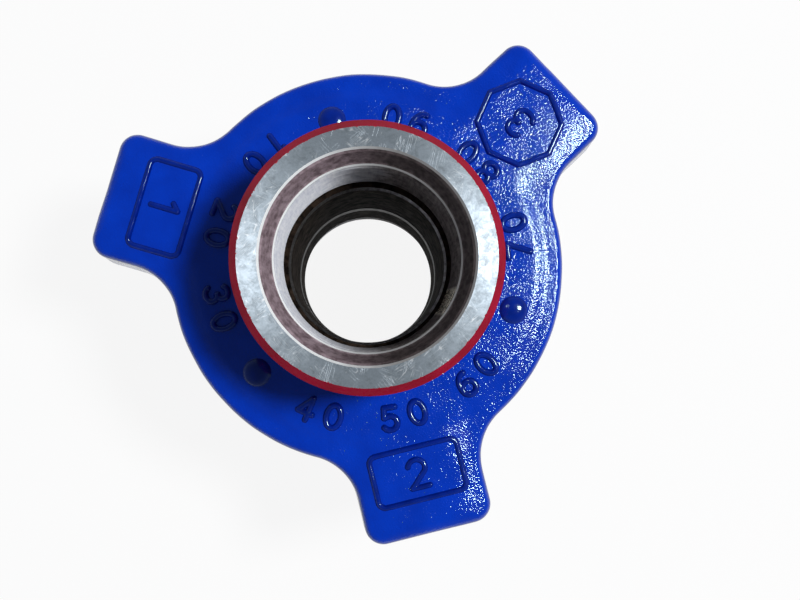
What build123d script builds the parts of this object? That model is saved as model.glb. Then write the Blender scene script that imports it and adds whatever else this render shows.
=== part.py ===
from build123d import *
from math import cos, hypot, radians, sin, sqrt, tan
import os

os.makedirs("parts", exist_ok=True)

# A 2-inch hammer union for high-pressure pipework, standing on the pipe end of its female sub.
# Everything turns about the Z axis. Z = 0 is the female sub's end face. Millimetres.

# ---------------------------------------------------------------- driving dimensions

# pipe ends, the same on both subs
bore_diameter = 52.0
bore_edge_radius = 0.8
pipe_end_diameter = 85.0
end_chamfer = 2.4  # painted edge break round each end face
pipe_thread_diameter = 58.4  # wall of the line-pipe thread
pipe_thread_end_depth = 36.0
thread_mouth_chamfer = 1.0
recess_depth = 7.5
recess_taper_run = 2.3  # how much the recess narrows, on the radius
recess_lead_in = 1.4
thread_relief_depth = 1.5
thread_relief_end_depth = 41.6

# male sub
flange_shoulder = 5.0  # how far the flange stands out from the neck
flange_thickness = 11.0
flange_gap = 3.0  # between the collar's end face and the flange
flange_edge_chamfer = 1.0
nose_clearance = 0.3  # between nose and seat, and between nose and seal
nose_end_width = 5.0
male_neck_length = 64.0  # plain pipe end above the flange
neck_root_radius = 2.0

# coupling thread, ACME form, right-hand
thread_pitch = 25.4 / 3
thread_passage = 1.5  # between the flange and the crests of the nut's thread
thread_working_depth = 3.4
thread_clearance = 0.4  # at crest, root and flank
thread_flank_angle = 14.5
thread_root_sink = 0.3  # how far a thread's root runs into the wall that carries it
thread_end_land = 4.5  # from the end of a threaded length to the middle of its last tooth

# female sub
female_length = 94.0
collar_length = 37.0  # threaded end
collar_lead_in = 2.0
collar_rim_width = 3.6  # flat rim between the lead-in and the seat's mouth
flare_angle = 25.0
flare_fillet = 6.0
seat_half_angle = 30.0

# seal
seal_width = 9.5  # from the bore to the wall of the seal's pocket
seal_height = 9.2
seal_side_clearance = 0.1
seal_ring_land = 3.4  # square section of the brass ring at the seal's outer edge
seal_lip_depth = 2.2
seal_lip_width = 2.4

# wing nut
nut_wall = 16.2  # from the thread's root to the outside of the barrel
nut_height = 65.0
nut_flange_thickness = 15.1
nut_running_clearance = 0.3  # between the nut's bearing face and the flange
nut_bore_clearance = 0.6  # between the nut's bore and the male neck, on the radius
nut_bore_chamfer = 2.5  # clears the fillet at the foot of the male neck
nut_rim_chamfer = 1.0
nut_relief_depth = 0.8  # thread run-out groove, beyond the thread's root
nut_relief_length = 11.0
nut_mouth_chamfer = 1.6
lug_count = 3
lug_first_angle = 30.0
lug_projection = 26.4  # beyond the barrel
lug_width = 46.4
lug_thickness = 44.0
lug_corner_radius = 7.5
lug_root_radius = 19.0
casting_draft = 3.0
top_edge_radius = 4.0
lower_edge_radius = 3.0
boss_diameter = 9.4
boss_height = 1.6
boss_edge_radius = 1.2
boss_inset = 16.5  # from the outside of the barrel to the middle of a boss
hollow_depth = 0.8  # the face between the lugs lies lower than the ring round the bore
hollow_inset = 9.2  # from the outside of the barrel to that ring's outer edge
hollow_slope = 75.0  # of the hollows' sides, from upright
lug_face_width = 31.0  # full-height part of the face in front of each lug
panel_inset = 22.4  # from the lug's end to the middle of its raised frame
panel_length = 31.0
panel_width = 18.0
panel_corner_radius = 2.5
panel_line_width = 1.6
panel_height = 0.8
octagon_radius = 14.8  # frame on the first lug, across its corners

# ---------------------------------------------------------------- radii

bore_radius = bore_diameter / 2
pipe_end_radius = pipe_end_diameter / 2
pipe_thread_radius = pipe_thread_diameter / 2
recess_foot_radius = pipe_thread_radius + thread_mouth_chamfer
recess_top_radius = recess_foot_radius + recess_taper_run
flange_radius = pipe_end_radius + flange_shoulder

# coupling thread: crest and root of the nut's thread, then of the female sub's
inner_crest = flange_radius + thread_passage
outer_crest = inner_crest + thread_working_depth
inner_root = outer_crest + thread_clearance
outer_root = inner_crest - thread_clearance

# both threads' teeth have the same width at the pitch radius, with the clearance between their flanks
pitch_radius = (outer_crest + inner_crest) / 2
flank_slope = tan(radians(thread_flank_angle))
flank_room = thread_clearance / cos(radians(thread_flank_angle))
crest_width = thread_pitch / 2 - flank_room - thread_working_depth * flank_slope

seat_slope = tan(radians(seat_half_angle))
seat_mouth_radius = outer_root - collar_lead_in - collar_rim_width
seat_foot_radius = bore_radius + seal_width
seat_height = (seat_mouth_radius - seat_foot_radius) / seat_slope
seal_outer_radius = seat_foot_radius - seal_side_clearance

relief_radius = inner_root + nut_relief_depth
nut_radius = inner_root + nut_wall
nut_bore_radius = pipe_end_radius + nut_bore_clearance
barrel_radius = nut_radius - lug_thickness / 2 * tan(radians(casting_draft))

# ---------------------------------------------------------------- places along the axis

seat_foot_z = female_length - seat_height
collar_z = female_length - collar_length
flare_z = collar_z - (outer_root - pipe_end_radius) / tan(radians(flare_angle))

# the nose is part of a ball that would touch the seat halfway up
seat_ball_radius = (seat_mouth_radius + seat_foot_radius) / 2 / cos(radians(seat_half_angle))
nose_centre_z = seat_foot_z + seat_height / 2 + seat_ball_radius * sin(radians(seat_half_angle))
nose_radius = seat_ball_radius - nose_clearance
nose_end_radius = bore_radius + nose_end_width
nose_end_z = nose_centre_z - sqrt(nose_radius**2 - nose_end_radius**2)
flange_z = female_length + flange_gap
nose_root_radius = sqrt(nose_radius**2 - (nose_centre_z - flange_z) ** 2)
flange_back_z = flange_z + flange_thickness
male_end_z = flange_back_z + male_neck_length
seal_top_z = nose_end_z - nose_clearance
pocket_floor_z = seal_top_z - seal_height

nut_bearing_z = flange_back_z + nut_running_clearance
nut_top_z = nut_bearing_z + nut_flange_thickness
nut_bottom_z = nut_top_z - nut_height
parting_z = nut_top_z - lug_thickness / 2
nut_thread_top_z = nut_bearing_z - nut_relief_length

# the nut's thread runs half a pitch out of step with the female sub's
outer_thread_z = collar_z + thread_end_land
inner_thread_z = outer_thread_z + thread_pitch / 2


# ---------------------------------------------------------------- shared shapes


def pipe_socket(face_z, inward):
    """Section of a threaded pipe end, from the rim of its face to the through bore.

    inward is 1 where the socket runs up from face_z, and -1 where it runs down.
    """
    groove_radius = pipe_thread_radius + thread_relief_depth
    section = [
        (pipe_end_radius, end_chamfer),
        (pipe_end_radius - end_chamfer, 0),
        (recess_top_radius + recess_lead_in, 0),
        (recess_top_radius, recess_lead_in),
        (recess_foot_radius, recess_depth),
        (pipe_thread_radius, recess_depth + thread_mouth_chamfer),
        (pipe_thread_radius, pipe_thread_end_depth),
        (groove_radius, pipe_thread_end_depth + thread_relief_depth),
        (groove_radius, thread_relief_end_depth),
        (bore_radius + bore_edge_radius, thread_relief_end_depth),
        (bore_radius, thread_relief_end_depth + bore_edge_radius),
    ]
    return [(radius, face_z + inward * depth) for radius, depth in section]


def thread_tooth(crest, root, centre_z):
    """Section of one thread tooth in the XZ plane, its root sunk into the wall behind it."""
    sunk = root + thread_root_sink * (1 if root > crest else -1)
    crest_half = crest_width / 2
    sunk_half = crest_half + abs(sunk - crest) * flank_slope
    return [
        (sunk, centre_z - sunk_half),
        (crest, centre_z - crest_half),
        (crest, centre_z + crest_half),
        (sunk, centre_z + sunk_half),
    ]


# ---------------------------------------------------------------- female sub

with BuildPart() as female_sub:
    with BuildSketch(Plane.XZ):
        with BuildLine():
            Polyline(
                *pipe_socket(0, 1),
                (bore_radius, pocket_floor_z),
                (seat_foot_radius, pocket_floor_z),
                (seat_foot_radius, seat_foot_z),
                (seat_mouth_radius, female_length),
                (outer_root - collar_lead_in, female_length),
                (outer_root, female_length - collar_lead_in),
                (outer_root, collar_z),
                (pipe_end_radius, flare_z),
                close=True,
            )
        make_face()
    revolve(axis=Axis.Z)
    flare_foot = female_sub.edges().filter_by_position(Axis.Z, flare_z - 0.01, flare_z + 0.01)
    fillet(flare_foot.sort_by(SortBy.RADIUS)[-1], radius=flare_fillet)
    with BuildLine() as outer_helix:
        Helix(
            pitch=thread_pitch,
            height=collar_length - 2 * thread_end_land,
            radius=pitch_radius,
            center=(0, 0, outer_thread_z),
        )
    with BuildSketch(Plane.XZ):
        with BuildLine():
            Polyline(*thread_tooth(outer_crest, outer_root, outer_thread_z), close=True)
        make_face()
    sweep(path=outer_helix.line, is_frenet=True)

female_sub.part.label = "female_sub"
export_step(female_sub.part, "parts/female_sub.step")

# ---------------------------------------------------------------- lip seal in the female sub's pocket

with BuildPart() as seal_ring:
    with BuildSketch(Plane.XZ):
        with BuildLine():
            Polyline(
                (bore_radius, pocket_floor_z),
                (seal_outer_radius, pocket_floor_z),
                (seal_outer_radius, seal_top_z - seal_ring_land),
                (seal_outer_radius - seal_ring_land, seal_top_z - seal_ring_land),
                (seal_outer_radius - seal_ring_land, seal_top_z),
                (bore_radius + seal_lip_width, seal_top_z),
                (bore_radius, seal_top_z - seal_lip_depth),
                close=True,
            )
        make_face()
    revolve(axis=Axis.Z)

seal_ring.part.label = "seal_ring"
export_step(seal_ring.part, "parts/seal_ring.step")

with BuildPart() as seal_brass_ring:
    with BuildSketch(Plane.XZ):
        with Locations((seal_outer_radius, seal_top_z)):
            Rectangle(seal_ring_land, seal_ring_land, align=(Align.MAX, Align.MAX))
    revolve(axis=Axis.Z)

seal_brass_ring.part.label = "seal_brass_ring"
export_step(seal_brass_ring.part, "parts/seal_brass_ring.step")

# ---------------------------------------------------------------- male sub

with BuildPart() as male_sub:
    with BuildSketch(Plane.XZ):
        with BuildLine():
            Polyline(
                (nose_root_radius, flange_z),
                (flange_radius - flange_edge_chamfer, flange_z),
                (flange_radius, flange_z + flange_edge_chamfer),
                (flange_radius, flange_back_z - flange_edge_chamfer),
                (flange_radius - flange_edge_chamfer, flange_back_z),
                (pipe_end_radius, flange_back_z),
                *pipe_socket(male_end_z, -1),
                (bore_radius, nose_end_z + bore_edge_radius),
                (bore_radius + bore_edge_radius, nose_end_z),
                (nose_end_radius, nose_end_z),
            )
            RadiusArc((nose_end_radius, nose_end_z), (nose_root_radius, flange_z), -nose_radius)
        make_face()
    revolve(axis=Axis.Z)
    neck_root = male_sub.edges().filter_by_position(Axis.Z, flange_back_z - 0.01, flange_back_z + 0.01)
    fillet(neck_root.sort_by(SortBy.RADIUS)[0], radius=neck_root_radius)

male_sub.part.label = "male_sub"
export_step(male_sub.part, "parts/male_sub.step")

# ---------------------------------------------------------------- wing nut

lug_reach = nut_radius + lug_projection
lug_pitch = 360 / lug_count
boss_angle = lug_first_angle + lug_pitch / 2
panel_radius = lug_reach - panel_inset
with BuildPart() as wing_nut:
    # the three hammer lugs and the top of the nut, drafted both ways from the parting line
    with BuildSketch(Plane.XY.offset(parting_z)) as nut_plan:
        Circle(nut_radius)
        with PolarLocations(0, lug_count, start_angle=lug_first_angle):
            Rectangle(lug_reach, lug_width, align=(Align.MIN, Align.CENTER))
        plan_corners = nut_plan.vertices().group_by(lambda v: round(hypot(v.X, v.Y), 1))
        fillet(plan_corners[-1], radius=lug_corner_radius)
        root_corners = nut_plan.vertices().group_by(lambda v: round(hypot(v.X, v.Y), 1))
        fillet(root_corners[0], radius=lug_root_radius)
    extrude(amount=lug_thickness / 2, both=True, taper=casting_draft)
    fillet(wing_nut.edges().group_by(Axis.Z)[-1], radius=top_edge_radius)
    fillet(wing_nut.edges().group_by(Axis.Z)[0], radius=lower_edge_radius)
    # plain barrel below the lugs
    with BuildSketch(Plane.XZ):
        with BuildLine():
            Polyline(
                (0, nut_bottom_z),
                (barrel_radius, nut_bottom_z),
                (barrel_radius, parting_z),
                (0, parting_z),
                close=True,
            )
        barrel = make_face()
        fillet(barrel.vertices().sort_by(Axis.Y)[0:2].sort_by(Axis.X)[-1], radius=lower_edge_radius)
    revolve(axis=Axis.Z)
    # the face's shallow hollows between the lugs
    with BuildSketch(Plane.XY.offset(nut_top_z)):
        Circle(lug_reach)
        Circle(nut_radius - hollow_inset, mode=Mode.SUBTRACT)
        with PolarLocations(0, lug_count, start_angle=lug_first_angle):
            Rectangle(
                2 * lug_reach,
                lug_face_width,
                align=(Align.MIN, Align.CENTER),
                mode=Mode.SUBTRACT,
            )
    extrude(amount=-hollow_depth, taper=hollow_slope, mode=Mode.SUBTRACT)
    # raised frames on the lugs, an octagon on the first and rounded rectangles on the others
    with BuildSketch(Plane.XY.offset(nut_top_z)):
        with PolarLocations(panel_radius, 1, start_angle=lug_first_angle):
            RegularPolygon(octagon_radius + panel_line_width / 2, 8)
            RegularPolygon(octagon_radius - panel_line_width / 2, 8, mode=Mode.SUBTRACT)
    extrude(amount=panel_height)
    with BuildSketch(Plane.XY.offset(nut_top_z)):
        with PolarLocations(
            panel_radius,
            lug_count - 1,
            start_angle=lug_first_angle + lug_pitch,
            angular_range=360 - 2 * lug_pitch,
            endpoint=True,
        ):
            RectangleRounded(
                panel_width + panel_line_width,
                panel_length + panel_line_width,
                panel_corner_radius + panel_line_width / 2,
            )
            RectangleRounded(
                panel_width - panel_line_width,
                panel_length - panel_line_width,
                panel_corner_radius - panel_line_width / 2,
                mode=Mode.SUBTRACT,
            )
    extrude(amount=panel_height)
    # domed bosses between the lugs
    with BuildSketch(Plane.XY.offset(nut_top_z)):
        with PolarLocations(nut_radius - boss_inset, lug_count, start_angle=boss_angle):
            Circle(boss_diameter / 2)
    extrude(amount=boss_height)
    fillet(wing_nut.edges().group_by(Axis.Z)[-1], radius=boss_edge_radius)
    # bore: thread mouth, thread wall, run-out groove, bearing face and the hole for the male neck
    with BuildSketch(Plane.XZ):
        with BuildLine():
            Polyline(
                (0, nut_bottom_z),
                (inner_root + nut_mouth_chamfer, nut_bottom_z),
                (inner_root, nut_bottom_z + nut_mouth_chamfer),
                (inner_root, nut_thread_top_z),
                (relief_radius, nut_thread_top_z + nut_relief_depth),
                (relief_radius, nut_bearing_z),
                (nut_bore_radius + nut_bore_chamfer, nut_bearing_z),
                (nut_bore_radius, nut_bearing_z + nut_bore_chamfer),
                (nut_bore_radius, nut_top_z - nut_rim_chamfer),
                (nut_bore_radius + nut_rim_chamfer, nut_top_z),
                (0, nut_top_z),
                close=True,
            )
        make_face()
    revolve(axis=Axis.Z, mode=Mode.SUBTRACT)
    # thread
    with BuildLine() as inner_helix:
        Helix(
            pitch=thread_pitch,
            height=nut_thread_top_z - inner_thread_z,
            radius=pitch_radius,
            center=(0, 0, inner_thread_z),
        )
    with BuildSketch(Plane.XZ):
        with BuildLine():
            Polyline(*thread_tooth(inner_crest, inner_root, inner_thread_z), close=True)
        make_face()
    sweep(path=inner_helix.line, is_frenet=True)

wing_nut.part.label = "wing_nut"
export_step(wing_nut.part, "parts/wing_nut.step")
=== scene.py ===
from math import atan2, cos, hypot, pi, radians, sin, sqrt, tan

import bpy
import numpy as np
from mathutils import Euler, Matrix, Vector


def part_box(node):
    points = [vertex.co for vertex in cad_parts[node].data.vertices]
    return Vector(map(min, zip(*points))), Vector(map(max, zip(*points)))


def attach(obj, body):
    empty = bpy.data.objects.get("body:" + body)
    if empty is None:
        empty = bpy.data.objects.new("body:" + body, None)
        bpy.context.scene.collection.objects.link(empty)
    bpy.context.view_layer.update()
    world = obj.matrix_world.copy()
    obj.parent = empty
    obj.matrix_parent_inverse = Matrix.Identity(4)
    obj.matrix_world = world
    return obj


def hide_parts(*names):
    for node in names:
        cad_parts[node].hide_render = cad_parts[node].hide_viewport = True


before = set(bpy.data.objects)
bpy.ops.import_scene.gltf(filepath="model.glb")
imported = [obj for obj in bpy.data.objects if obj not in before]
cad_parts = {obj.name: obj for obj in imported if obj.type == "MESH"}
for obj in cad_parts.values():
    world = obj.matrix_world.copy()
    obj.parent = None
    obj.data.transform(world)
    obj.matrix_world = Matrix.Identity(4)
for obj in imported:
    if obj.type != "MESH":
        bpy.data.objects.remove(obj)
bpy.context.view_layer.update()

MM = 0.001

# ---------------------------------------------------------------- sizes, in millimetres

# wing nut
boss_height = 1.6
nut_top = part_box("wing_nut")[1].z / MM - boss_height  # its face, under the tops of the bosses
nut_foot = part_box("wing_nut")[0].z / MM
nut_radius = 69.0
lug_reach = 95.4
lug_half_width = 23.2
lug_corner = 7.5
lug_root = 19.0
lug_thickness = 44.0
draft = radians(3.0)
top_edge = 4.0
lower_edge = 3.0
lug_angles = (30.0, 150.0, 270.0)
boss_angles = (90.0, 210.0, 330.0)
boss_ring = 52.5
boss_radius = 4.7
figure_ring = 52.8  # middle of the figures round the neck
figure_pitch = 10.6  # degrees from one to the next
figure_size = (7.8, 8.6)  # height, and the width that a unit of a figure's box takes
lug_figure_size = (9.6, 11.0)
figure_stroke = (1.05, 1.15, 0.4)  # half width, height, and the width of its foot
lug_stroke = (0.95, 1.0, 0.4)
rim_radius = 44.1  # foot of the chamfer at the neck's hole
thread_mouth = 54.4
ring_edge = nut_radius - 9.2  # outer edge of the raised ring round the neck
hollow_depth = 0.8  # of the face between the lugs
hollow_start = (ring_edge - 2.2, ring_edge + 3.3)  # radii where it begins and is full
hollow_sides = (11.0, 22.0)  # the same, off a lug's middle line
panel_ring = lug_reach - 22.4  # middle of the raised frame on each lug
panel_half_long = 15.5
panel_half_tall = 9.0
panel_corner = 2.5
octagon_radius = 14.8
parting = nut_top - lug_thickness / 2
barrel_radius = nut_radius - lug_thickness / 2 * tan(draft)

# pipe ends
face_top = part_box("male_sub")[1].z / MM
face_bare_radius = 40.1
flange_back = 108.0
collar_foot = 57.0
recess_mouth = 33.95
recess_depth = 8.5
groove_depth = 36.0
groove_end = 41.5
bore_depth = 42.4
bore_radius = 26.0
bore_edge = 0.7  # width of the bright edge round its mouth
pipe_wall = 29.2
pipe_pitch = 25.4 / 11.5  # 11.5 threads to the inch
pipe_thread_depths = (8.4, 35.9)
pipe_crest_mouth = 28.75  # radius of the thread's crests at its mouth
pipe_crest_fall = 1.05  # how much closer to the axis they are at its end
pipe_thread_flat = 0.12  # part of a tooth's flank that is flat, at its root and at its crest
pipe_thread_fade = 1.5  # depth over which the thread starts and ends
painted_lit_side = 166.0  # turn, in degrees, of the side painted as lit in each pipe end; the side opposite is painted as shade


# ---------------------------------------------------------------- small helpers


def make_mesh(name, points, faces):
    """A mesh object from points in millimetres."""
    mesh = bpy.data.meshes.new(name)
    mesh.from_pydata((np.asarray(points) * MM).tolist(), [], faces)
    mesh.validate()
    mesh.update()
    mesh.shade_smooth()
    piece = bpy.data.objects.new(name, mesh)
    bpy.context.scene.collection.objects.link(piece)
    return piece


def ring_faces(rings, around):
    """Quads between closed rings of points."""
    faces = []
    for ring in range(rings - 1):
        near, far = ring * around, (ring + 1) * around
        for spoke in range(around):
            following = (spoke + 1) % around
            faces.append((near + spoke, far + spoke, far + following, near + following))
    return faces


def directions(turn):
    """Outward and sideways unit vectors at a turn round the nut, in degrees."""
    turn = radians(turn)
    return np.array((cos(turn), sin(turn))), np.array((-sin(turn), cos(turn)))


def smoothstep(low, high, value):
    """0 up to low, 1 from high on, and a smooth run between them."""
    t = np.clip((value - low) / (high - low), 0, 1)
    return t * t * (3 - 2 * t)


class Waves:
    """Smooth random unevenness of a cast surface: a seeded sum of plane waves."""

    def __init__(self, seed, count, shortest, longest, height):
        rng = np.random.default_rng(seed)
        lengths = shortest * (longest / shortest) ** rng.random(count)
        directions = rng.normal(size=(count, 3))
        directions /= np.linalg.norm(directions, axis=1)[:, None]
        self.waves = directions * (2 * pi / lengths)[:, None]
        self.phases = rng.random(count) * 2 * pi
        weights = lengths / lengths.mean()
        self.heights = height * weights * sqrt(2 / np.sum(weights**2))

    def __call__(self, points):
        return np.cos(points @ self.waves.T + self.phases) @ self.heights


casting = Waves(seed=3, count=70, shortest=7.0, longest=26.0, height=0.045)


# ---------------------------------------------------------------- wing nut, cast outside


def lug_plan(spacing):
    """Points and normals of half a lug's plan, from the middle of its end to halfway to the next."""
    points, normals = [], []

    def line(start, end, normal):
        count = max(2, round(hypot(end[0] - start[0], end[1] - start[1]) / spacing))
        for step in range(count):
            t = step / count
            points.append((start[0] + (end[0] - start[0]) * t, start[1] + (end[1] - start[1]) * t))
            normals.append(normal)

    def arc(centre, radius, first, last, side):
        count = max(3, round(abs(last - first) * radius / spacing))
        for step in range(count):
            a = first + (last - first) * step / count
            points.append((centre[0] + radius * cos(a), centre[1] + radius * sin(a)))
            normals.append((side * cos(a), side * sin(a)))

    corner_x = lug_reach - lug_corner
    corner_y = lug_half_width - lug_corner
    root_y = lug_half_width + lug_root
    root_x = sqrt((nut_radius + lug_root) ** 2 - root_y**2)
    root_turn = atan2(root_y, root_x)
    line((lug_reach, 0), (lug_reach, corner_y), (1, 0))
    arc((corner_x, corner_y), lug_corner, 0, pi / 2, 1)
    line((corner_x, lug_half_width), (root_x, lug_half_width), (0, 1))
    arc((root_x, root_y), lug_root, -pi / 2, root_turn - pi, -1)
    arc((0, 0), nut_radius, root_turn, pi / 3, 1)
    points.append((nut_radius * cos(pi / 3), nut_radius * sin(pi / 3)))
    normals.append((cos(pi / 3), sin(pi / 3)))
    return np.array(points), np.array(normals)


def nut_plan(spacing):
    """The nut's whole plan at its parting line, anticlockwise."""
    half, half_normals = lug_plan(spacing)
    mirror = np.array((1, -1))
    lug = np.concatenate((half[:0:-1] * mirror, half[:-1]))
    lug_normals = np.concatenate((half_normals[:0:-1] * mirror, half_normals[:-1]))
    points, normals = [], []
    for angle in lug_angles:
        c, s = cos(radians(angle)), sin(radians(angle))
        turn = np.array(((c, s), (-s, c)))
        points.append(lug @ turn)
        normals.append(lug_normals @ turn)
    return np.concatenate(points), np.concatenate(normals)


def face_fall(x, y):
    """How far the nut's face lies under the raised ring round the neck: not at all on the lugs."""
    radius = np.hypot(x, y)
    turn = np.degrees(np.arctan2(y, x))
    from_lug = np.abs((turn - lug_angles[0] + 60) % 120 - 60)
    across = radius * np.sin(np.radians(from_lug))
    between = smoothstep(*hollow_sides, across)
    return hollow_depth * smoothstep(*hollow_start, radius) * between


def hollowed(points):
    """Points of the smooth nut less what stands above the hollows, whose edge is slightly round."""
    fall = face_fall(points[..., 0], points[..., 1])
    soft = 0.5 * fall + 1e-6
    over = points[..., 2] - (nut_top - fall)
    taken = np.where(over > soft, over, np.clip(over + soft, 0, None) ** 2 / (4 * soft))
    result = points.copy()
    result[..., 2] -= taken
    return result


def face_height(x, y):
    """Height of the nut's top face."""
    points = np.stack((x, y, np.full_like(x, nut_top)), -1)
    return nut_top - face_fall(x, y) + casting(points)


def nut_skin():
    """The nut's cast outside, from the rim at its neck to its thread's mouth."""
    face_rows, wall_rows, mouth_rows = 46, 14, 8
    plan, normals = nut_plan(spacing=0.9)
    count = len(plan)
    turn = np.arctan2(plan[:, 1], plan[:, 0])
    rays = np.stack((np.cos(turn), np.sin(turn)), -1)

    rows = []

    def along_wall(inset, z):
        rows.append(np.column_stack((plan - normals * inset, np.full(count, z))))

    # top face, from the rim out to where the edge starts to round
    flat_inset = lug_thickness / 2 * tan(draft) + top_edge * (1 - sin(draft))
    edge_start = plan - normals * flat_inset
    rim = rays * rim_radius
    for step in range(face_rows):
        t = step / face_rows
        rows.append(np.column_stack((rim * (1 - t) + edge_start * t, np.full(count, nut_top))))
    # rounded top edge
    for step in range(9):
        a = pi / 2 - (pi / 2 - draft) * step / 8
        inset = flat_inset - top_edge * cos(a)
        along_wall(inset, nut_top - top_edge + top_edge * sin(a))
    # drafted walls, above and below the parting line
    wall_top = nut_top - top_edge + top_edge * sin(draft)
    for step in range(1, wall_rows + 1):
        z = wall_top + (parting - wall_top) * step / wall_rows
        along_wall((z - parting) * tan(draft), z)
    lug_foot = nut_top - lug_thickness
    wall_foot = lug_foot + lower_edge - lower_edge * sin(draft)
    for step in range(1, wall_rows + 1):
        z = parting + (wall_foot - parting) * step / wall_rows
        along_wall((parting - z) * tan(draft), z)
    # rounded lower edge of the lugs, and their underside back to the barrel
    foot_inset = lug_thickness / 2 * tan(draft) + lower_edge * (1 - sin(draft))
    for step in range(1, 7):
        a = draft + (pi / 2 - draft) * step / 6
        inset = foot_inset - lower_edge * cos(a)
        z = lug_foot + lower_edge - lower_edge * sin(a)
        row = np.column_stack((plan - normals * inset, np.full(count, z)))
        out = np.hypot(row[:, 0], row[:, 1])
        row[:, :2] = rays * np.maximum(out, barrel_radius)[:, None]
        rows.append(row)
    start = rows[-1]
    out = np.hypot(start[:, 0], start[:, 1])
    web = 3.0  # how far the lugs' underside falls on its way in
    for step in range(1, 19):
        t = step / 18
        radius = out * (1 - t) + barrel_radius * t
        z = lug_foot - web * t**6
        rows.append(np.column_stack((rays * radius[:, None], np.full(count, z))))
    # barrel and its foot
    barrel_top = lug_foot - web
    barrel_foot = nut_foot + lower_edge
    for step in range(1, 13):
        z = barrel_top + (barrel_foot - barrel_top) * step / 12
        rows.append(np.column_stack((rays * barrel_radius, np.full(count, z))))
    for step in range(1, 6):
        a = pi / 2 * step / 5
        radius = barrel_radius - lower_edge + lower_edge * cos(a)
        z = barrel_foot - lower_edge * sin(a)
        rows.append(np.column_stack((rays * radius, np.full(count, z))))
    inner = barrel_radius - lower_edge
    for step in range(1, mouth_rows + 1):
        radius = inner + (thread_mouth - inner) * step / mouth_rows
        rows.append(np.column_stack((rays * radius, np.full(count, nut_foot))))

    grid = np.array(rows)
    across = np.roll(grid, -1, 1) - np.roll(grid, 1, 1)
    down = np.gradient(grid, axis=0)
    direction = np.cross(down, across)
    direction /= np.linalg.norm(direction, axis=-1)[..., None] + 1e-12
    direction[:face_rows] = (0, 0, 1)
    # cast unevenness, none at the machined mouth
    rough = casting(grid.reshape(-1, 3)).reshape(grid.shape[:2])
    rough[-mouth_rows:] *= np.linspace(1, 0, mouth_rows)[:, None]
    grid = hollowed(grid) + direction * rough[..., None]

    return make_mesh("nut_casting", grid.reshape(-1, 3), ring_faces(len(rows), count))


def nut_machined():
    """The nut's machined inside, as the CAD has it: rim, neck hole, bearing face, thread and mouth."""
    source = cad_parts["wing_nut"].data
    points = np.zeros(len(source.vertices) * 3)
    source.vertices.foreach_get("co", points)
    points = points.reshape(-1, 3) / MM
    out = np.hypot(points[:, 0], points[:, 1])
    slack = 0.01
    inside = (out < thread_mouth + 2 * slack) & (points[:, 2] < nut_top + slack)
    faces = []
    for polygon in source.polygons:
        corners = list(polygon.vertices)
        on_top = np.all(points[corners, 2] > nut_top - slack)
        if np.all(inside[corners]) and not on_top:
            faces.append(corners)
    used = sorted({corner for face in faces for corner in face})
    place = {corner: number for number, corner in enumerate(used)}
    faces = [[place[corner] for corner in face] for face in faces]
    piece = make_mesh("nut_thread", points[used], faces)
    piece.data.set_sharp_from_angle(angle=radians(25))
    return piece


# ---------------------------------------------------------------- raised figures on the nut


def bow(cx, cy, rx, ry, first, last, count=14):
    """Points along an arc of an ellipse, from one angle to another, in degrees."""
    angles = [radians(first + (last - first) * k / count) for k in range(count + 1)]
    return [(cx + rx * cos(a), cy + ry * sin(a)) for a in angles]


# Strokes of plain figures in a box 0.62 wide and 1 high, as polylines.
figure_middle = (0.31, 0.5)
figure_strokes = {
    "0": [bow(0.31, 0.5, 0.29, 0.5, 0, 360, 28)],
    "1": [[(0.33, 0), (0.33, 1), (0.12, 0.78)]],
    "2": [bow(0.31, 0.71, 0.27, 0.29, 165, -38) + [(0.04, 0), (0.6, 0)]],
    "3": [bow(0.29, 0.75, 0.25, 0.25, 155, -80) + bow(0.29, 0.27, 0.3, 0.27, 80, -155)],
    "4": [[(0.44, 0), (0.44, 1), (0.02, 0.3), (0.62, 0.3)]],
    "5": [[(0.56, 1), (0.12, 1), (0.08, 0.56)] + bow(0.29, 0.31, 0.3, 0.31, 128, -148)],
    "6": [bow(0.31, 0.3, 0.29, 0.3, 0, 360, 24), [(0.02, 0.3)] + bow(0.42, 0.36, 0.4, 0.63, 172, 80, 8)],
    "7": [[(0.03, 1), (0.6, 1), (0.2, 0)]],
    "8": [bow(0.31, 0.76, 0.24, 0.24, 0, 360, 24), bow(0.31, 0.27, 0.29, 0.27, 0, 360, 24)],
    "9": [bow(0.31, 0.7, 0.29, 0.3, 0, 360, 24), [(0.6, 0.7)] + bow(0.2, 0.64, 0.4, 0.63, -8, -100, 8)],
}


def stroke_distance(points, strokes):
    """Distance from each point to the nearest stroke."""
    nearest = np.full(len(points), 1e9)
    for stroke in strokes:
        stroke = np.asarray(stroke, float)
        for a, b in zip(stroke[:-1], stroke[1:]):
            along = b - a
            t = np.clip(((points - a) @ along) / (along @ along), 0, 1)
            nearest = np.minimum(nearest, np.hypot(*(points - a - t[:, None] * along).T))
    return nearest


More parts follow.
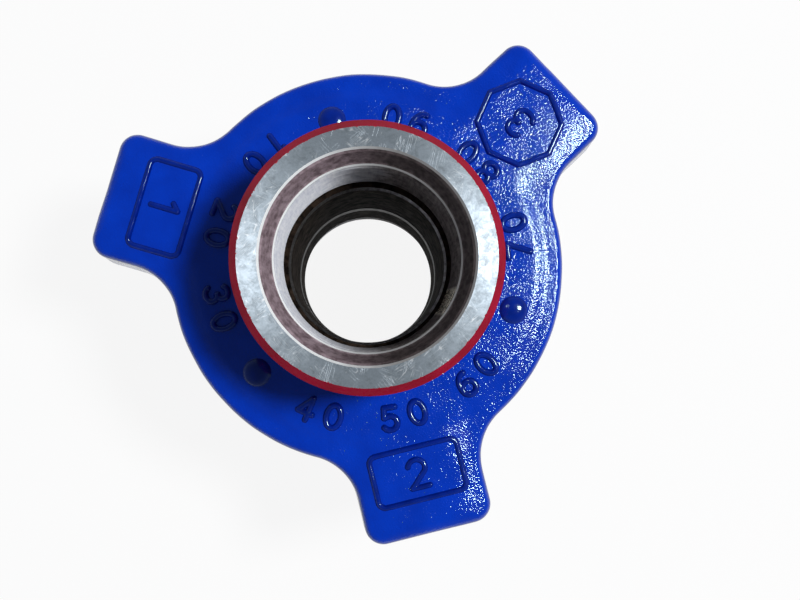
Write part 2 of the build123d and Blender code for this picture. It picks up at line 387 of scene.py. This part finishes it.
def relief(name, strokes, half_width, height, foot):
    """Raised strokes on the nut's face, round on top; strokes are polylines in its own x and y."""
    step = 0.18  # of the mesh
    sunk = 0.12  # how far the foot's edge lies under the face
    every = np.concatenate([np.asarray(stroke) for stroke in strokes])
    margin = half_width + foot + 0.5
    low = every.min(0) - margin
    high = every.max(0) + margin
    columns = int((high[0] - low[0]) / step) + 2
    rows = int((high[1] - low[1]) / step) + 2
    x = low[0] + np.arange(columns) * step
    y = low[1] + np.arange(rows) * step
    gx, gy = np.meshgrid(x, y)
    flat = np.stack((gx.ravel(), gy.ravel()), -1)
    distance = stroke_distance(flat, strokes)
    lift = height * np.clip(1 - (distance / half_width) ** 2.5, 0, 1) ** 0.6
    lift -= sunk * smoothstep(half_width, half_width + foot, distance)
    z = face_height(flat[:, 0], flat[:, 1]) + lift
    keep = distance < half_width + foot + step * 1.5
    number = -np.ones(len(flat), int)
    faces = []
    points = []
    keep_grid = keep.reshape(rows, columns)
    quad = keep_grid[:-1, :-1] & keep_grid[1:, :-1] & keep_grid[:-1, 1:] & keep_grid[1:, 1:]
    for r, c in zip(*np.nonzero(quad)):
        near, far = r * columns + c, (r + 1) * columns + c
        corners = (near, near + 1, far + 1, far)
        for corner in corners:
            if number[corner] < 0:
                number[corner] = len(points)
                points.append((flat[corner, 0], flat[corner, 1], z[corner]))
        faces.append([int(number[corner]) for corner in corners])
    return make_mesh(name, points, faces)


def placed(strokes, centre_radius, turn, height, width):
    """Strokes of one figure set on the nut's face, its top towards the middle of the nut."""
    outward, sideways = directions(turn)
    result = []
    for stroke in strokes:
        stroke = np.asarray(stroke, float)
        u = (stroke[:, 0] - figure_middle[0]) * width
        v = (stroke[:, 1] - figure_middle[1]) * height
        result.append(outward * (centre_radius - v)[:, None] + sideways * u[:, None])
    return result


def ring_figures():
    """Plain numbers round the neck, as on a dial, in three groups with a boss between them."""
    groups = {"10 20 30": 150.0, "40 50 60": 270.0, "70 80 90": 30.0}
    pieces = []
    for numbers, middle in groups.items():
        strokes = []
        for place, figure in enumerate(numbers):
            turn = middle + (place - (len(numbers) - 1) / 2) * figure_pitch
            if figure != " ":
                strokes += placed(figure_strokes[figure], figure_ring, turn, *figure_size)
        pieces.append(relief("figures_" + numbers.replace(" ", "_"), strokes, *figure_stroke))
    return pieces


def panel_outline(angle):
    """Middle line of the raised frame on a lug, in a lug's own sideways and outward directions."""
    if angle == lug_angles[0]:
        corners = [radians(a) for a in range(0, 361, 45)]
        return [(octagon_radius * sin(a), octagon_radius * cos(a)) for a in corners]
    outline = []
    for quarter, (side, out) in enumerate(((1, 1), (-1, 1), (-1, -1), (1, -1))):
        centre = (side * (panel_half_long - panel_corner), out * (panel_half_tall - panel_corner))
        outline += bow(*centre, panel_corner, panel_corner, quarter * 90, quarter * 90 + 90, 6)
    return outline + outline[:1]


def lug_figures():
    """A raised frame on each lug with a plain number in it."""
    pieces = []
    for angle, figure in zip(lug_angles, "312"):
        strokes = placed(figure_strokes[figure], panel_ring, angle, *lug_figure_size)
        outward, sideways = directions(angle)
        outline = np.array(panel_outline(angle))
        strokes.append(outward * (panel_ring + outline[:, 1:]) + sideways * outline[:, :1])
        pieces.append(relief(f"lug_figure_{figure}", strokes, *lug_stroke))
    return pieces


def bosses():
    """Domed bosses between the groups of figures, each with its foot sunk in the face."""
    rings, spokes = 16, 48
    foot, sunk = 1.12, 0.1  # the foot's radius, in radii of the boss, and how deep it lies
    pieces = []
    for number, angle in enumerate(boss_angles):
        x, y = boss_ring * cos(radians(angle)), boss_ring * sin(radians(angle))
        points = []
        for ring in range(rings + 1):
            t = ring / rings
            radius = boss_radius * foot * t
            dome = np.clip(1 - (radius / boss_radius) ** 2.4, 0, 1) ** 0.55
            lift = boss_height * dome - sunk * (radius > boss_radius)
            for spoke in range(spokes):
                a = 2 * pi * spoke / spokes
                px, py = x + radius * cos(a), y + radius * sin(a)
                base = float(face_height(np.array([px]), np.array([py]))[0])
                points.append((px, py, base + lift))
        pieces.append(make_mesh(f"nut_boss_{number + 1}", points, ring_faces(rings + 1, spokes)))
    return pieces


# ---------------------------------------------------------------- pipe threads in both ends


def pipe_thread(name, face_z, inward):
    """The tapered pipe thread on the wall of one pipe end; inward is the way it goes along z."""
    start, end = pipe_thread_depths
    root = pipe_wall - 0.03  # just clear of the CAD's wall
    around, per_turn = 120, 8
    turns = (end - start) / pipe_pitch
    rows = int(turns * per_turn) + per_turn + 1
    points = []
    faces = []
    for row in range(rows + 1):
        for column in range(around + 1):
            turn = column / around
            depth = start + (row - per_turn + turn * per_turn) / per_turn * pipe_pitch
            depth = min(max(depth, start), end)
            phase = (row % per_turn) / per_turn
            tooth = 1 - abs(phase * 2 - 1)
            tooth = min(max((tooth - pipe_thread_flat) / (1 - 2 * pipe_thread_flat), 0), 1)
            crest = pipe_crest_mouth - (depth - start) / (end - start) * pipe_crest_fall
            fade = min(1, (depth - start) / pipe_thread_fade, (end - depth) / pipe_thread_fade)
            radius = root - (root - crest) * tooth * max(fade, 0)
            a = 2 * pi * turn
            points.append((radius * cos(a), radius * sin(a), face_z + inward * depth))
    width = around + 1
    for row in range(rows):
        for column in range(around):
            near, far = row * width + column, (row + 1) * width + column
            faces.append((near, near + 1, far + 1, far))
    return make_mesh(name, points, faces)


# ---------------------------------------------------------------- materials


def colour(red, green, blue):
    """An sRGB colour, 0 to 255, as the shader's linear one."""
    linear = []
    for value in (red, green, blue):
        value /= 255
        linear.append(value / 12.92 if value <= 0.04045 else ((value + 0.055) / 1.055) ** 2.4)
    return (*linear, 1)


class Finish:
    """A material's node tree, with short calls for what is used here. Sizes are in millimetres."""

    def __init__(self, name):
        self.material = bpy.data.materials.new(name)
        self.material.use_nodes = True
        self.tree = self.material.node_tree
        self.shader = self.tree.nodes["Principled BSDF"]
        self.place = self.tree.nodes.new("ShaderNodeTexCoord").outputs["Object"]
        parts = self.tree.nodes.new("ShaderNodeSeparateXYZ")
        self.link(self.place, parts.inputs[0])
        self.x, self.y, self.z = (self.math("MULTIPLY", output, 1 / MM) for output in parts.outputs)
        squares = (self.math("POWER", axis, 2.0) for axis in (self.x, self.y))
        self.radius = self.math("SQRT", self.math("ADD", *squares))
        self.turn = self.math("ARCTAN2", self.y, self.x)

    def link(self, source, target):
        self.tree.links.new(source, target)

    def put(self, value, target):
        """Links an output to an input, or sets the input to a plain value."""
        if isinstance(value, (int, float, tuple)):
            target.default_value = value
        else:
            self.link(value, target)

    def set(self, **values):
        for name, value in values.items():
            self.put(value, self.shader.inputs[name.replace("_", " ")])

    def math(self, operation, first, second=None):
        made = self.tree.nodes.new("ShaderNodeMath")
        made.operation = operation
        self.put(first, made.inputs[0])
        if second is not None:
            self.put(second, made.inputs[1])
        return made.outputs[0]

    def blend(self, first, part, second, other_part):
        """The sum of two values, each times its part."""
        first, second = self.math("MULTIPLY", first, part), self.math("MULTIPLY", second, other_part)
        return self.math("ADD", first, second)

    def span(self, source, low, high, first=0.0, last=1.0):
        """source's run from low to high as a clamped, smooth run from first to last."""
        made = self.tree.nodes.new("ShaderNodeMapRange")
        made.interpolation_type = "SMOOTHSTEP"
        self.put(source, made.inputs["Value"])
        for socket, value in zip(("From Min", "From Max", "To Min", "To Max"), (low, high, first, last)):
            made.inputs[socket].default_value = value
        return made.outputs["Result"]

    def mix(self, factor, first, second):
        made = self.tree.nodes.new("ShaderNodeMix")
        made.data_type = "RGBA"
        self.put(factor, made.inputs["Factor"])
        self.put(first, made.inputs[6])
        self.put(second, made.inputs[7])
        return made.outputs[2]

    def vector(self, x, y, z):
        made = self.tree.nodes.new("ShaderNodeCombineXYZ")
        for value, target in zip((x, y, z), made.inputs):
            self.put(value, target)
        return made.outputs[0]

    def noise(self, size, detail=2.0, roughness=0.5, at=None, distortion=0.0):
        """Noise of that grain, in the object's own place, or at a vector in millimetres."""
        made = self.tree.nodes.new("ShaderNodeTexNoise")
        self.link(self.place if at is None else at, made.inputs["Vector"])
        made.inputs["Scale"].default_value = (1 / (size * MM)) if at is None else 1 / size
        made.inputs["Detail"].default_value = detail
        made.inputs["Roughness"].default_value = roughness
        made.inputs["Distortion"].default_value = distortion
        return made.outputs["Fac"]

    def ramp(self, source, *stops):
        """A run of colours over source; each stop is a position and a colour."""
        made = self.tree.nodes.new("ShaderNodeValToRGB")
        self.link(source, made.inputs["Fac"])
        while len(made.color_ramp.elements) < len(stops):
            made.color_ramp.elements.new(0.5)
        for element, (position, value) in zip(made.color_ramp.elements, stops):
            element.position = position
            element.color = value
        return made.outputs["Color"]

    def bump(self, height, distance, under=None):
        made = self.tree.nodes.new("ShaderNodeBump")
        made.inputs["Distance"].default_value = distance * MM
        self.put(height, made.inputs["Height"])
        if under is not None:
            self.link(under, made.inputs["Normal"])
        return made.outputs["Normal"]

    def scratches(self, direction, width, length, thin, rarity):
        """Thin straight scratches that run one way, as a mask."""
        c, s = cos(radians(direction)), sin(radians(direction))
        along = self.blend(self.x, c, self.y, s)
        across = self.blend(self.y, c, self.x, -s)
        along, across = self.math("DIVIDE", along, length), self.math("DIVIDE", across, width)
        place = self.vector(along, across, direction)
        line = self.math("ABSOLUTE", self.math("SUBTRACT", self.noise(1.0, 0.0, at=place), 0.5))
        line = self.span(line, 0.0, thin, 1.0, 0.0)
        patchy = self.noise(7.0, 1.0, at=self.vector(self.x, self.y, direction))
        return self.math("MULTIPLY", line, self.span(patchy, rarity, rarity + 0.08))


enamel_glint = (0.66, 0.9, 0.76, 1.0)


def blue_enamel():
    """Gloss enamel over a casting: fine points of light towards the lamp, and a deeper blue painted down
    the walls as shade.
    """
    finish = Finish("blue_enamel")
    tone = finish.noise(11.0, 3.0)
    flat = finish.ramp(tone, (0.3, colour(0, 48, 174)), (0.7, colour(0, 56, 192)))
    # painted shade: from just under the face down the rounded edge and walls the enamel turns deeper
    # blue
    edge = finish.span(finish.z, nut_top - 3.6, nut_top - 1.0, 1.0, 0.0)
    finish.set(
        Base_Color=finish.mix(edge, flat, colour(0, 36, 138)),
        Roughness=finish.span(finish.noise(5.0), 0.35, 0.65, 0.07, 0.12),
        Specular_Tint=enamel_glint,
    )
    broad = finish.bump(finish.noise(2.6, 2.0), 0.08)
    finish.set(Normal=finish.bump(finish.noise(0.66, 1.5), 0.13, under=broad))
    return finish.material


def relief_enamel():
    """The same enamel on raised strokes and bosses, where it has run thick: smooth, and deeper blue,
    partly for the thick enamel and partly as painted shade.
    """
    finish = Finish("blue_enamel_relief")
    tone = finish.noise(4.0, 3.0)
    # painted shade in part: the deeper blue also stands in for the shade on the strokes and bosses
    finish.set(
        Base_Color=finish.ramp(tone, (0.3, colour(0, 28, 122)), (0.7, colour(0, 36, 144))),
        Roughness=finish.span(finish.noise(3.0), 0.35, 0.65, 0.08, 0.14),
        Specular_Tint=enamel_glint,
        Normal=finish.bump(finish.noise(1.6, 2.0), 0.05),
    )
    return finish.material


def red_enamel():
    """Plain red enamel on the outside of both subs."""
    finish = Finish("red_enamel")
    tone = finish.noise(9.0, 3.0)
    finish.set(
        Base_Color=finish.ramp(tone, (0.3, colour(132, 3, 32)), (0.7, colour(158, 6, 46))),
        Roughness=finish.span(finish.noise(4.0), 0.35, 0.65, 0.14, 0.22),
        Specular_IOR_Level=0.1,
        Normal=finish.bump(finish.noise(1.4, 2.0), 0.08),
    )
    return finish.material


def turned_steel():
    """Bare turned end face, bright where its marks face the lamp: film, scratches, paint at its rim."""
    finish = Finish("turned_steel")
    tangent = finish.tree.nodes.new("ShaderNodeTangent")
    tangent.direction_type = "RADIAL"
    tangent.axis = "Z"
    rings = finish.vector(finish.math("MULTIPLY", finish.radius, 5.0), 0.0, 0.0)
    grain = finish.noise(1.0, 2.0, at=rings)
    patchy = finish.noise(3.6, 5.0, 0.68, distortion=0.8)
    speck = finish.noise(0.8, 3.0, 0.7)
    mottle = finish.blend(patchy, 0.7, speck, 0.3)
    base = finish.ramp(
        mottle,
        (0.34, colour(128, 137, 144)),
        (0.5, colour(153, 164, 173)),
        (0.66, colour(173, 185, 195)),
    )
    marks = finish.scratches(25.0, 0.9, 9.0, 0.025, 0.54)
    for direction, width, length in ((62.0, 1.1, 12.0), (-35.0, 1.3, 7.0), (118.0, 0.9, 8.0)):
        marks = finish.math("MAXIMUM", marks, finish.scratches(direction, width, length, 0.02, 0.56))
    base = finish.mix(marks, base, colour(206, 212, 216))
    rough = finish.span(mottle, 0.4, 0.6, 0.54, 0.46)
    rough = finish.math("ADD", rough, finish.math("MULTIPLY", marks, 0.1))
    ragged = finish.math("MULTIPLY", finish.math("SUBTRACT", finish.noise(1.1, 3.0, 0.6), 0.5), 2.2)
    reach = finish.math("ADD", finish.radius, ragged)
    painted = finish.math("GREATER_THAN", reach, face_bare_radius + 0.1)
    height = finish.math("ADD", grain, finish.math("MULTIPLY", marks, -1.5))
    finish.set(
        Base_Color=finish.mix(painted, base, colour(165, 10, 30)),
        Metallic=finish.math("SUBTRACT", 1.0, painted),
        Roughness=rough,
        Anisotropic=0.75,
        Anisotropic_Rotation=0.25,
        Tangent=tangent.outputs[0],
        Normal=finish.bump(speck, 0.004, under=finish.bump(height, 0.006)),
    )
    return finish.material


def plain_steel(name, light, dark, smooth, rough):
    """Machined steel with some film; smooth and rough are its roughness where clean and under film."""
    finish = Finish(name)
    film = finish.noise(2.5, 4.0, 0.6)
    finish.set(
        Base_Color=finish.ramp(film, (0.34, dark), (0.64, light)),
        Metallic=1.0,
        Roughness=finish.span(film, 0.35, 0.65, rough, smooth),
        Normal=finish.bump(finish.noise(0.5, 2.0), 0.015),
    )
    return finish.material


def painted_light_and_shade_sides(finish, clear, shaded_colour):
    """The clear colour painted as light on the side of a pipe end that the lamp lights, the other
    painted as shade on the side opposite.
    """
    # painted light and shade: the colour follows which side the lamp lights
    side = finish.math("COSINE", finish.math("SUBTRACT", finish.turn, radians(painted_lit_side)))
    ragged = finish.math("MULTIPLY", finish.math("SUBTRACT", finish.noise(6.0, 2.0), 0.5), 0.4)
    return finish.mix(finish.span(finish.math("ADD", side, ragged), -0.35, 0.65), shaded_colour, clear)


def recess_steel():
    """The pipe end's recess, painted lighter on the side the lamp lights and darker on the shaded side,
    with thin painted highlights at its mouth and foot.
    """
    finish = Finish("recess_steel")
    film = finish.noise(2.5, 4.0, 0.6)
    # painted light and shade: the lighter colour on the lit side of the recess, the darker on the shaded
    # side
    clear = finish.ramp(film, (0.34, colour(104, 86, 92)), (0.64, colour(172, 152, 160)))
    shaded_colour = finish.ramp(film, (0.34, colour(44, 36, 36)), (0.64, colour(84, 74, 74)))
    # painted highlights: thin rings at the mouth and foot, near white on the lit side and grey on the
    # shaded side
    mouth = finish.math("GREATER_THAN", finish.radius, recess_mouth - 0.75)
    foot = finish.math("LESS_THAN", finish.radius, pipe_wall + 0.55)
    painted_highlight_lines = finish.math("MAXIMUM", mouth, foot)
    base = painted_light_and_shade_sides(finish, clear, shaded_colour)
    bright = painted_light_and_shade_sides(finish, colour(244, 247, 248), colour(150, 150, 150))
    finish.set(
        Base_Color=finish.mix(painted_highlight_lines, base, bright),
        Metallic=0.2,
        Roughness=finish.span(film, 0.35, 0.65, 0.6, 0.4),
        Normal=finish.bump(finish.noise(0.5, 2.0), 0.015),
    )
    return finish.material


def dark_bore():
    """Unpainted bore, black-brown in random patches, hardly shining."""
    finish = Finish("dark_bore")
    # film here is only a random tone from near black to brown
    film = finish.noise(3.0, 4.0, 0.65)
    finish.set(
        Base_Color=finish.ramp(film, (0.36, colour(8, 7, 7)), (0.66, colour(56, 45, 37))),
        Roughness=finish.span(film, 0.3, 0.7, 0.9, 0.7),
        Specular_IOR_Level=0.03,
        Normal=finish.bump(finish.noise(0.7, 3.0), 0.04),
    )
    return finish.material


def thread_steel(highlight_turn):
    """Bare pipe thread with fine streaks, painted pale on the side the lamp lights and dark on the
    shaded side; the turn given, in degrees, places a painted highlight, a cream patch that is also more
    metallic and smoother.
    """
    finish = Finish("pipe_thread_steel")
    turn = finish.math("MULTIPLY", finish.turn, 30.0)
    depth = finish.math("MULTIPLY", finish.z, 0.12)
    streaks = finish.noise(1.0, 3.0, 0.6, at=finish.vector(turn, depth, 0.0))
    tone = finish.blend(streaks, 0.5, finish.noise(3.0, 3.0), 0.5)
    # painted highlight: near the given turn a cream patch stands in for a bright reflection on the
    # thread
    off = finish.math("ABSOLUTE", finish.math("SUBTRACT", finish.turn, radians(highlight_turn)))
    near = finish.span(off, radians(6.0), radians(11.0), 1.0, 0.0)
    painted_highlight_patch = finish.math("MULTIPLY", near, finish.span(tone, 0.4, 0.5))
    # painted light and shade: pale for the side the lamp lights, dark for the side in shade
    clear = finish.ramp(tone, (0.35, colour(214, 218, 230)), (0.62, colour(246, 248, 253)))
    shaded_colour = finish.ramp(tone, (0.35, colour(56, 50, 48)), (0.62, colour(108, 100, 98)))
    base = painted_light_and_shade_sides(finish, clear, shaded_colour)
    finish.set(
        Base_Color=finish.mix(painted_highlight_patch, base, colour(255, 246, 224)),
        Metallic=finish.span(painted_highlight_patch, 0.0, 1.0, 0.1, 0.9),
        Roughness=finish.mix(painted_highlight_patch, finish.span(tone, 0.35, 0.65, 0.55, 0.4), (0.22, 0.22, 0.22, 1.0)),
        Normal=finish.bump(streaks, 0.03),
    )
    return finish.material


def seal_rubber():
    """Black rubber of the seal."""
    finish = Finish("seal_rubber")
    tone = finish.noise(3.0, 3.0)
    finish.set(
        Base_Color=finish.ramp(tone, (0.3, colour(20, 20, 21)), (0.7, colour(34, 34, 35))),
        Roughness=finish.span(finish.noise(2.0), 0.3, 0.7, 0.5, 0.62),
        Normal=finish.bump(finish.noise(0.4, 3.0), 0.02),
    )
    return finish.material


def brass():
    """Brass of the ring in the seal."""
    finish = Finish("brass")
    tone = finish.noise(2.5, 3.0)
    finish.set(
        Base_Color=finish.ramp(tone, (0.3, colour(176, 138, 62)), (0.7, colour(214, 178, 98))),
        Metallic=1.0,
        Roughness=finish.span(finish.noise(1.5), 0.3, 0.7, 0.25, 0.38),
        Normal=finish.bump(finish.noise(0.3, 2.0), 0.01),
    )
    return finish.material


def dress(piece, material):
    piece.data.materials.clear()
    piece.data.materials.append(material)
    return piece


# ---------------------------------------------------------------- the two subs, dressed


def dressed_sub(node, body, zones, zone_of):
    """A copy of a sub's CAD mesh; zone_of names the finish of a face at a radius and a height."""
    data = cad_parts[node].data.copy()
    data.name = node + "_dressed"
    piece = bpy.data.objects.new(data.name, data)
    bpy.context.scene.collection.objects.link(piece)
    data.materials.clear()
    names = list(zones)
    for name in names:
        data.materials.append(zones[name])
    for polygon in data.polygons:
        centre = polygon.center / MM
        polygon.material_index = names.index(zone_of(hypot(centre.x, centre.y), centre.z))
    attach(piece, body)
    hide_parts(node)
    return piece


def socket_zone(radius, depth):
    """Finish of a pipe end's socket at a depth under its face, or None outside the socket."""
    if depth < 0.01:
        return "face" if radius < face_bare_radius else "enamel"
    if radius > recess_mouth:
        return None
    if depth < recess_depth:
        return "recess"
    if depth < groove_depth:
        return "oiled"
    if groove_end < depth < bore_depth + 1 and radius > bore_radius + 0.1:
        return "edge" if radius < bore_radius + bore_edge else "bore"
    return "bore" if radius < bore_radius + 5.0 else None


def male_zone(radius, z):
    """Finish of the male sub: bare behind its flange and in its socket, enamel elsewhere."""
    if z < flange_back + 0.5:
        return "oiled" if radius > bore_radius + 0.1 else "bore"
    return socket_zone(radius, face_top - z) or "enamel"


def female_zone(radius, z):
    """Finish of the female sub: bare from its collar's foot up and in its socket, enamel elsewhere."""
    if z > collar_foot - 0.5:
        return "oiled" if radius > bore_radius + 0.1 else "bore"
    return socket_zone(radius, z) or "enamel"


# ---------------------------------------------------------------- assembly

blue = blue_enamel()
skin = nut_skin()
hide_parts("wing_nut")
thick_blue_and_shade = relief_enamel()
for piece in [skin] + ring_figures() + lug_figures() + bosses():
    dress(piece, blue if piece is skin else thick_blue_and_shade)
    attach(piece, "wing_nut")

oiled = plain_steel("oiled_steel", colour(150, 150, 154), colour(84, 82, 84), 0.3, 0.5)
inside = dress(nut_machined(), oiled)
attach(inside, "wing_nut")
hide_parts("wing_nut")

zones = {
    "enamel": red_enamel(),
    "face": turned_steel(),
    "edge": plain_steel("bright_edge", colour(190, 190, 192), colour(120, 118, 118), 0.3, 0.45),
    "recess": recess_steel(),
    "oiled": oiled,
    "bore": dark_bore(),
}
dressed_sub("male_sub", "male_sub", zones, male_zone)
dressed_sub("female_sub", "female_sub", zones, female_zone)

# the thread's painted highlight sits at a turn of -41 degrees
pale = thread_steel(highlight_turn=-41.0)
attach(dress(pipe_thread("male_pipe_thread", face_top, -1), pale), "male_sub")
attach(dress(pipe_thread("female_pipe_thread", 0.0, 1), pale), "female_sub")

for node, material in (("seal_ring", seal_rubber()), ("seal_brass_ring", brass())):
    for material_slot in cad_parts[node].material_slots:
        material_slot.material = material


# ---------------------------------------------------------------- floor, light and camera


def light_path(tree):
    """1 for rays that come from the camera, a reflection or a see-through surface."""
    path = tree.nodes.new("ShaderNodeLightPath")
    seen = None
    for output in ("Is Camera Ray", "Is Glossy Ray", "Is Transmission Ray"):
        if seen is None:
            seen = path.outputs[output]
            continue
        either = tree.nodes.new("ShaderNodeMath")
        either.operation = "MAXIMUM"
        tree.links.new(seen, either.inputs[0])
        tree.links.new(path.outputs[output], either.inputs[1])
        seen = either.outputs[0]
    return seen


def floor():
    """White floor, mostly its own white where it is seen, with part of the object's shadow kept."""
    bpy.ops.mesh.primitive_plane_add(size=12, location=(0, 0, 0))
    plane = bpy.context.object
    plane.name = "floor"
    finish = Finish("floor_white")
    finish.set(Base_Color=(0.84, 0.84, 0.84, 1), Roughness=0.9, Specular_IOR_Level=0.1)
    glow = finish.tree.nodes.new("ShaderNodeEmission")
    both = finish.tree.nodes.new("ShaderNodeMixShader")
    finish.put(finish.math("MULTIPLY", light_path(finish.tree), 0.9), both.inputs[0])
    finish.link(finish.shader.outputs[0], both.inputs[1])
    finish.link(glow.outputs[0], both.inputs[2])
    finish.link(both.outputs[0], finish.tree.nodes["Material Output"].inputs["Surface"])
    dress(plane, finish.material)


def lamp(name, turn, tilt, distance, width, brightness):
    """A round lamp aimed at the nut; brightness is what it alone gives a white face turned to it."""
    data = bpy.data.lights.new(name, "AREA")
    data.shape = "DISK"
    data.size = width
    data.energy = brightness * pi * pi * distance**2
    made = bpy.data.objects.new(name, data)
    bpy.context.scene.collection.objects.link(made)
    aim = Vector((0, 0, nut_top * MM))
    turn, tilt = radians(turn), radians(tilt)
    away = Vector((sin(tilt) * cos(turn), sin(tilt) * sin(turn), cos(tilt)))
    made.location = aim + away * distance
    made.rotation_mode = "QUATERNION"
    made.rotation_quaternion = (-away).to_track_quat("-Z", "Y")


def studio():
    """Soft light all round, brighter at the horizon and below it than overhead."""
    world = bpy.data.worlds.new("studio")
    bpy.context.scene.world = world
    world.use_nodes = True
    tree = world.node_tree
    place = tree.nodes.new("ShaderNodeTexCoord")
    parts = tree.nodes.new("ShaderNodeSeparateXYZ")
    ramp = tree.nodes.new("ShaderNodeValToRGB")
    tree.links.new(place.outputs["Generated"], parts.inputs[0])
    tree.links.new(parts.outputs["Z"], ramp.inputs["Fac"])
    ramp.color_ramp.elements[0].position = 0.35
    ramp.color_ramp.elements[0].color = (0.3, 0.31, 0.33, 1)
    ramp.color_ramp.elements[1].position = 0.95
    ramp.color_ramp.elements[1].color = (0.1, 0.105, 0.115, 1)
    tree.links.new(ramp.outputs["Color"], tree.nodes["Background"].inputs["Color"])


def camera():
    """The camera, almost straight above the nut."""
    data = bpy.data.cameras.new("camera")
    data.lens = 53.3
    data.sensor_width = 36.0
    data.clip_start = 0.01
    data.clip_end = 50.0
    made = bpy.data.objects.new("camera", data)
    bpy.context.scene.collection.objects.link(made)
    made.location = (-0.0059, -0.0262, 0.532)
    made.rotation_euler = Euler((radians(2.175), radians(-1.497), radians(-13.7)))
    bpy.context.scene.camera = made


floor()
studio()
lamp("key", turn=-1.0, tilt=25.0, distance=1.5, width=0.3, brightness=0.87)
bpy.context.scene.view_settings.view_transform = "Standard"
camera()
